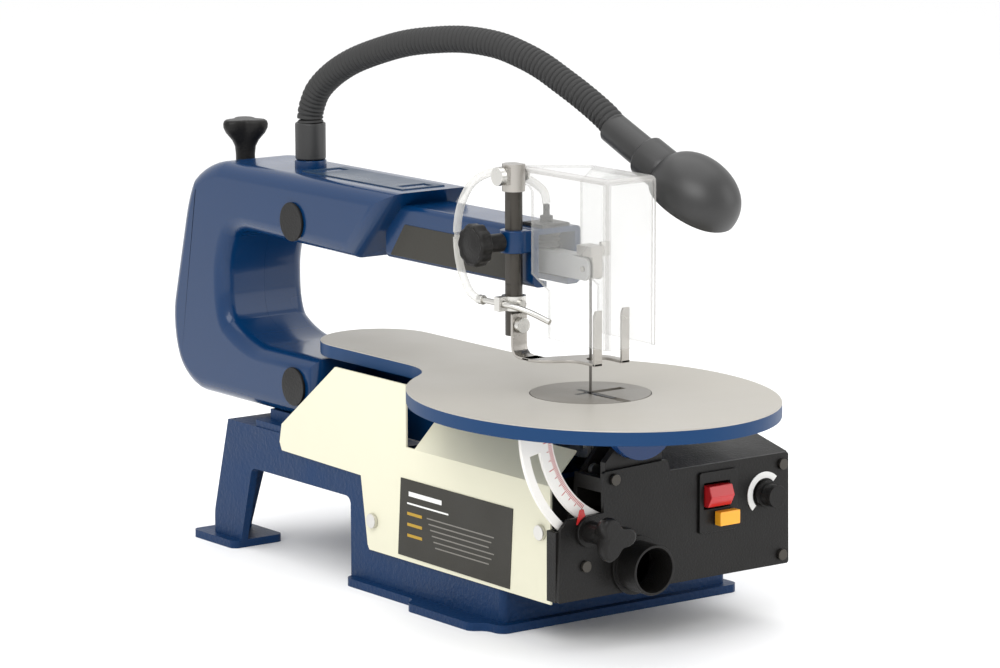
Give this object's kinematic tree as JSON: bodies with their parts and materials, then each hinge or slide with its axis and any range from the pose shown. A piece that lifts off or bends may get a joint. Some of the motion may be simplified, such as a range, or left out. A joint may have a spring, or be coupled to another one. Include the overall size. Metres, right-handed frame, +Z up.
{
  "type": "scroll saw",
  "caption": "Bench scroll saw with a C-frame arm, tilting round table, clear blade guard, gooseneck lamp and a base with controls in front.",
  "frame": {"origin": "centre of the rectangle of bench bolt holes, on the underside of the base", "axes": "+Z up, +Y from the controls to the back of the C-frame, +X to the operator's right"},
  "size_m": [0.286, 0.6332, 0.4105],
  "materials": {
    "blue_cast": "pebbled cast paint",
    "blue_gloss": "glossy paint",
    "black_plastic": "fine grained",
    "inlay_plate": "glossy paint",
    "steel": "turned",
    "aluminium": "cast",
    "blade_steel": "blued",
    "dark_steel": "blackened",
    "cast_steel": "satin",
    "bellows_rubber": "matte",
    "hose_plastic": "milky clear",
    "clear_plastic": "clear",
    "ground_iron": "ground top, painted edge",
    "insert_steel": "satin",
    "trunnion_blue": "glossy paint",
    "scale_white": "printed scale",
    "pointer_red": "gloss",
    "black_metal": "satin",
    "cream_paint": "satin",
    "plate_dark": "printed plate",
    "switch_red": "gloss",
    "key_yellow": "gloss",
    "print_white": "print",
    "lamp_black": "satin",
    "neck_black": "ribbed",
    "bulb_glass": "frosted"
  },
  "bodies": {
    "frame": {"base_casting": "blue_cast", "frame_left_half": "blue_gloss", "frame_right_half": "blue_gloss", "frame_top_plate": "inlay_plate", "frame_bolts": "steel", "pivot_caps": "black_plastic", "pivot_shafts": "steel", "air_bellows": "bellows_rubber", "air_fitting": "black_plastic", "air_hose": "hose_plastic", "tilt_pointer": "pointer_red", "front_bracket": "black_metal", "bracket_bolts": "steel", "side_cover": "cream_paint", "cover_screws": "steel", "data_plate": "plate_dark", "arm_label": "plate_dark", "control_box": "black_plastic", "front_panel": "black_plastic", "panel_screws": "dark_steel", "switch_plate": "black_plastic", "speed_plate": "print_white", "dust_port": "black_plastic", "cord_gland": "black_plastic", "motor_cover": "black_plastic", "motor": "black_metal"},
    "upper_arm": {"upper_rocker_arm": "aluminium"},
    "lower_arm": {"lower_rocker_arm": "aluminium"},
    "blade_set": {"upper_blade_holder": "cast_steel", "lower_blade_holder": "cast_steel", "saw_blade": "blade_steel"},
    "upper_screw": {"upper_thumb_screw": "steel"},
    "lower_screw": {"lower_clamp_screw": "steel"},
    "back_rod": {"tension_rod": "steel"},
    "tension_grip": {"tension_knob": "black_plastic"},
    "post": {"guard_post": "dark_steel", "guard_clamp": "cast_steel", "guard_screw": "steel", "presser_foot": "dark_steel", "foot_screw": "steel", "pipe_clip": "steel", "blower_pipe": "steel"},
    "post_grip": {"post_lock_knob": "black_plastic"},
    "guard": {"blade_guard": "clear_plastic"},
    "table": {"table_top": "ground_iron", "table_insert": "insert_steel", "table_trunnion": "trunnion_blue", "tilt_scale": "scale_white"},
    "tilt_grip": {"tilt_lock_knob": "black_plastic"},
    "paddle": {"switch_paddle": "switch_red"},
    "key": {"safety_key": "key_yellow"},
    "speed": {"speed_knob": "black_plastic"},
    "crank": {"crank_disc": "steel", "motor_shaft": "steel"},
    "rod": {"connecting_rod": "steel"},
    "lamp": {"lamp_base": "lamp_black", "lamp_neck": "neck_black"},
    "lamp_end": {"lamp_head": "lamp_black", "lamp_bulb": "bulb_glass"}
  },
  "joints": [
    {"name": "upper_arm_rock", "type": "hinge", "parent": "frame", "child": "upper_arm", "pos_m": [-0.0575, 0.073, 0.259], "axis": [1, 0, 0], "range_deg": [-1.33, 1.33], "deforming": ["air_bellows"]},
    {"name": "lower_arm_rock", "type": "hinge", "parent": "frame", "child": "lower_arm", "pos_m": [-0.0575, 0.073, 0.135], "axis": [1, 0, 0], "range_deg": [-1.33, 1.33]},
    {"name": "blade_hang", "type": "hinge", "parent": "upper_arm", "child": "blade_set", "pos_m": [-0.0575, -0.235, 0.259], "axis": [1, 0, 0], "range_deg": [-1.33, 1.33]},
    {"name": "rod_hang", "type": "hinge", "parent": "upper_arm", "child": "back_rod", "pos_m": [-0.0575, 0.195, 0.259], "axis": [1, 0, 0], "range_deg": [-1.33, 1.33]},
    {"name": "tension_turn", "type": "hinge", "parent": "back_rod", "child": "tension_grip", "pos_m": [-0.0575, 0.195, 0.312], "axis": [0, 0, 1], "range_deg": [-180, 180]},
    {"name": "upper_screw_turn", "type": "hinge", "parent": "blade_set", "child": "upper_screw", "pos_m": [-0.0455, -0.235, 0.2715], "axis": [1, 0, 0], "range_deg": [-180, 0]},
    {"name": "lower_screw_turn", "type": "hinge", "parent": "blade_set", "child": "lower_screw", "pos_m": [-0.0495, -0.235, 0.1225], "axis": [1, 0, 0], "range_deg": [-180, 0]},
    {"name": "post_slide", "type": "slide", "parent": "frame", "child": "post", "axis": [0, 0, 1], "range_m": [-0.019, 0.014], "deforming": ["air_hose"]},
    {"name": "post_lock_turn", "type": "hinge", "parent": "frame", "child": "post_grip", "pos_m": [-0.1175, -0.187, 0.275], "axis": [1, 0, 0], "range_deg": [0, 270]},
    {"name": "guard_flip", "type": "hinge", "parent": "post", "child": "guard", "pos_m": [-0.0805, -0.187, 0.321], "axis": [-1, 0, 0], "range_deg": [0, 80]},
    {"name": "table_tilt", "type": "hinge", "parent": "frame", "child": "table", "pos_m": [-0.0575, -0.285, 0.164], "axis": [0, -1, 0], "range_deg": [0, 45]},
    {"name": "tilt_lock_turn", "type": "hinge", "parent": "frame", "child": "tilt_grip", "pos_m": [-0.10075, -0.31, 0.08909], "axis": [0, -1, 0], "range_deg": [0, 120]},
    {"name": "switch_rock", "type": "hinge", "parent": "frame", "child": "paddle", "pos_m": [0.011, -0.286, 0.1], "axis": [1, 0, 0], "range_deg": [-7, 7]},
    {"name": "key_pull", "type": "slide", "parent": "frame", "child": "key", "axis": [0, -1, 0], "range_m": [0, 0.025]},
    {"name": "speed_turn", "type": "hinge", "parent": "frame", "child": "speed", "pos_m": [0.0555, -0.295, 0.095], "axis": [0, -1, 0], "range_deg": [-135, 135]},
    {"name": "crank_spin", "type": "hinge", "parent": "frame", "child": "crank", "pos_m": [-0.0375, -0.085, 0.06], "axis": [1, 0, 0], "continuous": true},
    {"name": "rod_swing", "type": "hinge", "parent": "crank", "child": "rod", "pos_m": [-0.0455, -0.08133, 0.06], "axis": [1, 0, 0], "continuous": true},
    {"name": "lamp_swing", "type": "hinge", "parent": "frame", "child": "lamp", "pos_m": [-0.0575, 0.106, 0.312], "axis": [0, 0, 1], "range_deg": [0, 60]},
    {"name": "lamp_bend", "type": "hinge", "parent": "lamp", "child": "lamp_end", "pos_m": [-0.007, -0.21, 0.3425], "axis": [0.9873, 0.1589, 0], "range_deg": [-12, 15], "deforming": ["lamp_neck"]}
  ],
  "couplings": [
    {"joint": "lower_arm_rock", "follows": "upper_arm_rock", "ratio": 1},
    {"joint": "blade_hang", "follows": "upper_arm_rock", "ratio": -1},
    {"joint": "rod_hang", "follows": "upper_arm_rock", "ratio": -1},
    {"joint": "rod_swing", "follows": "crank_spin", "ratio": -1}
  ]
}
